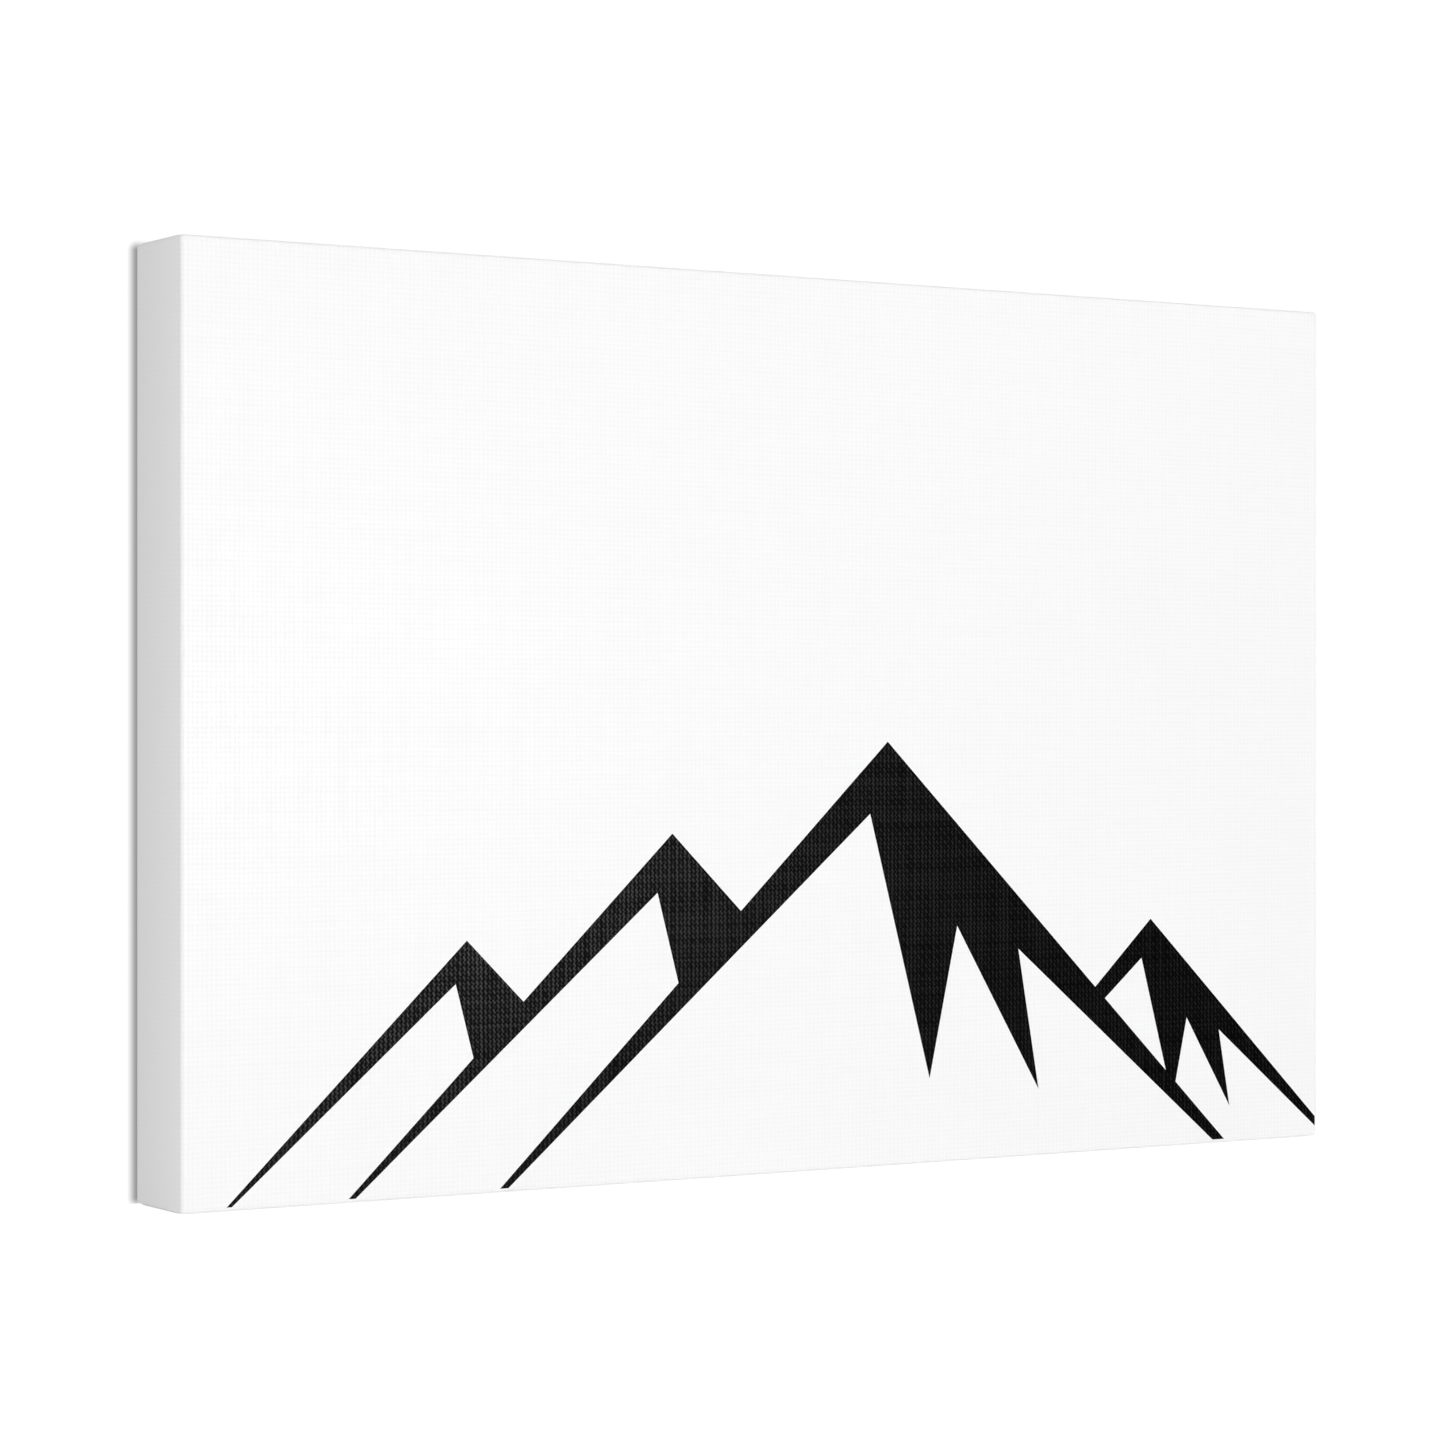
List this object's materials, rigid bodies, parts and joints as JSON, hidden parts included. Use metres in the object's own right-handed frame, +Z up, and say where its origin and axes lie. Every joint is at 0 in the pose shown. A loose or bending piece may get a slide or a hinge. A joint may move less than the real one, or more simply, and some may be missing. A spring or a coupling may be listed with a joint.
{
  "type": "stretched canvas",
  "caption": "Gallery-wrapped canvas on keyed pine stretcher bars, with tapered corner keys, staples, a sawtooth hanger and wall bumpers.",
  "frame": {"origin": "centre of the bottom side, the flat face that the canvas stands on", "axes": "+X along the picture's width to the right as seen from the front, +Y from the painted face to the back, +Z up"},
  "size_m": [0.4572, 0.0372, 0.3048],
  "materials": {
    "cloth": "matt primed woven canvas, printed black on white at the front, raw and off-white inside",
    "pine": "planed bare pine",
    "beech": "sawn bare beech",
    "steel": "bright zinc-plated steel",
    "rubber": "matt grey rubber"
  },
  "bodies": {
    "stretched_frame": {"canvas": "cloth", "bottom_bar": "pine", "right_bar": "pine", "top_bar": "pine", "left_bar": "pine", "staple_bottom_1": "steel", "staple_bottom_2": "steel", "staple_bottom_3": "steel", "staple_bottom_4": "steel", "staple_bottom_5": "steel", "staple_bottom_6": "steel", "staple_bottom_7": "steel", "staple_bottom_8": "steel", "staple_top_1": "steel", "staple_top_2": "steel", "staple_top_3": "steel", "staple_top_4": "steel", "staple_top_5": "steel", "staple_top_6": "steel", "staple_top_7": "steel", "staple_top_8": "steel", "staple_left_1": "steel", "staple_left_2": "steel", "staple_left_3": "steel", "staple_left_4": "steel", "staple_left_5": "steel", "staple_right_1": "steel", "staple_right_2": "steel", "staple_right_3": "steel", "staple_right_4": "steel", "staple_right_5": "steel", "staple_corner_bottom_left": "steel", "staple_corner_bottom_right": "steel", "staple_corner_top_left": "steel", "staple_corner_top_right": "steel", "sawtooth_hanger": "steel", "hanger_nail_left": "steel", "hanger_nail_right": "steel", "bumper_left": "rubber", "bumper_right": "rubber"},
    "key_bottom_bar_left": {"key_bottom_bar_left": "beech"},
    "key_bottom_bar_right": {"key_bottom_bar_right": "beech"},
    "key_right_bar_bottom": {"key_right_bar_bottom": "beech"},
    "key_right_bar_top": {"key_right_bar_top": "beech"},
    "key_top_bar_right": {"key_top_bar_right": "beech"},
    "key_top_bar_left": {"key_top_bar_left": "beech"},
    "key_left_bar_top": {"key_left_bar_top": "beech"},
    "key_left_bar_bottom": {"key_left_bar_bottom": "beech"}
  },
  "joints": [
    {"name": "key_bottom_bar_left_slide", "type": "slide", "parent": "stretched_frame", "child": "key_bottom_bar_left", "axis": [0, 0, 1], "range_m": [0, 0.015]},
    {"name": "key_bottom_bar_right_slide", "type": "slide", "parent": "stretched_frame", "child": "key_bottom_bar_right", "axis": [0, 0, 1], "range_m": [0, 0.015]},
    {"name": "key_right_bar_bottom_slide", "type": "slide", "parent": "stretched_frame", "child": "key_right_bar_bottom", "axis": [-1, 0, 0], "range_m": [0, 0.015]},
    {"name": "key_right_bar_top_slide", "type": "slide", "parent": "stretched_frame", "child": "key_right_bar_top", "axis": [-1, 0, 0], "range_m": [0, 0.015]},
    {"name": "key_top_bar_right_slide", "type": "slide", "parent": "stretched_frame", "child": "key_top_bar_right", "axis": [0, 0, -1], "range_m": [0, 0.015]},
    {"name": "key_top_bar_left_slide", "type": "slide", "parent": "stretched_frame", "child": "key_top_bar_left", "axis": [0, 0, -1], "range_m": [0, 0.015]},
    {"name": "key_left_bar_top_slide", "type": "slide", "parent": "stretched_frame", "child": "key_left_bar_top", "axis": [1, 0, 0], "range_m": [0, 0.015]},
    {"name": "key_left_bar_bottom_slide", "type": "slide", "parent": "stretched_frame", "child": "key_left_bar_bottom", "axis": [1, 0, 0], "range_m": [0, 0.015]}
  ]
}
